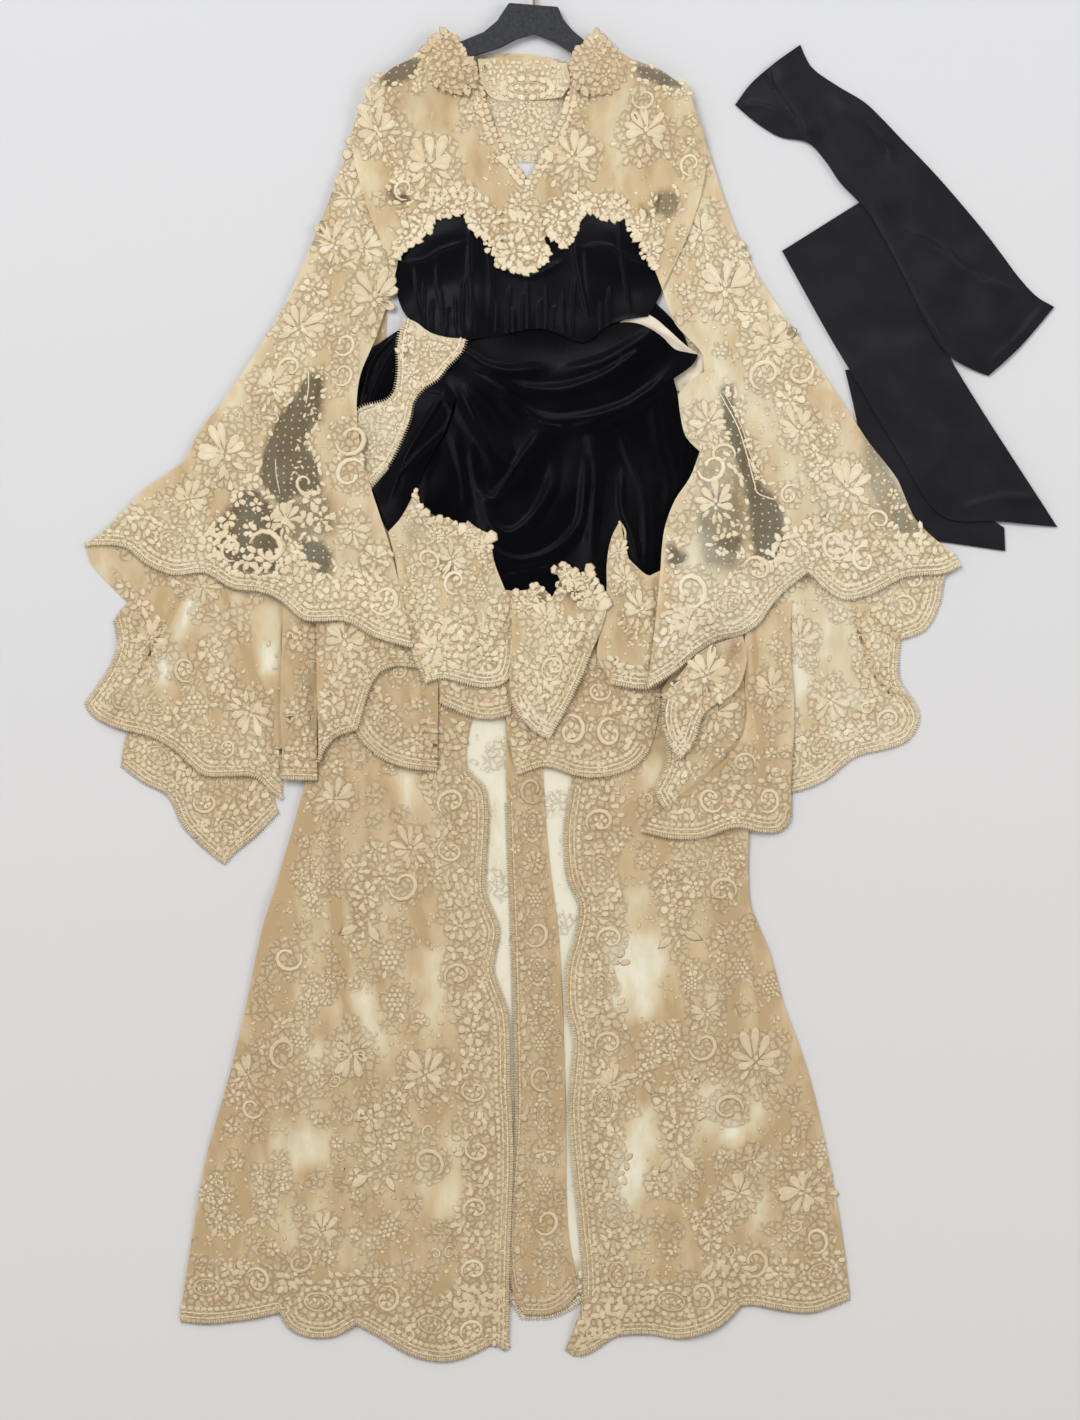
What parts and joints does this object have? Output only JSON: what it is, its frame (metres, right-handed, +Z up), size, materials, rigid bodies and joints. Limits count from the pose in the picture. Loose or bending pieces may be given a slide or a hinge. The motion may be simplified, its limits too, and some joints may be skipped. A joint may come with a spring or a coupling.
{
  "type": "maxi dress on a hanger, laid flat with its sash",
  "caption": "Floor-length dress of corded floral lace over black satin, with wide handkerchief sleeves, draped skirt and sash, laid flat on its hanger.",
  "frame": {"origin": "middle of the laid part's box, on the surface that it lies on", "axes": "+X to the right across the dress, +Y from the hem to the collar and hook, +Z up from the surface"},
  "size_m": [1.148, 1.6766, 0.0314],
  "materials": {
    "lace": "sheer net with corded floral motifs, matt",
    "thick_lace": "dense raised lace flowers, matt",
    "satin": "black satin, soft sheen",
    "facing": "cream facing, fine weave",
    "hanger_black": "matt black",
    "hook_brass": "polished pale brass wire"
  },
  "bodies": {
    "root": {"yoke_back": "lace", "skirt_back": "lace", "sleeve_left_tip": "lace", "sleeve_left_back": "lace", "sleeve_right_back": "lace", "skirt_back_pleat": "lace", "skirt_left": "lace", "skirt_right": "lace", "hip_strip": "lace", "peplum_left_under": "lace", "peplum_left_strip": "lace", "peplum_centre_under": "lace", "peplum_left": "lace", "peplum_second_hem": "lace", "peplum_centre_left": "lace", "peplum_right": "lace", "peplum_centre": "lace", "sleeve_left_front": "lace", "sleeve_right_fold": "lace", "sleeve_right_cascade": "lace", "sleeve_right_front": "lace", "sleeve_right_ruffle": "lace", "yoke_front": "lace", "yoke_flowers_left": "thick_lace", "yoke_flowers_centre": "thick_lace", "yoke_flowers_right": "thick_lace", "collar_left": "thick_lace", "collar_right": "thick_lace", "collar_back": "thick_lace", "bodice_back": "satin", "satin_wing_left": "satin", "satin_wing_right": "satin", "satin_tab_left": "satin", "satin_strap_right": "satin", "satin_drape": "satin", "satin_tail_left": "satin", "bodice_front": "satin", "sash_under_end": "satin", "sash_lower": "satin", "sash_upper": "satin", "waist_facing_right": "facing", "hanger": "hanger_black", "hook": "hook_brass"}
  },
  "joints": []
}
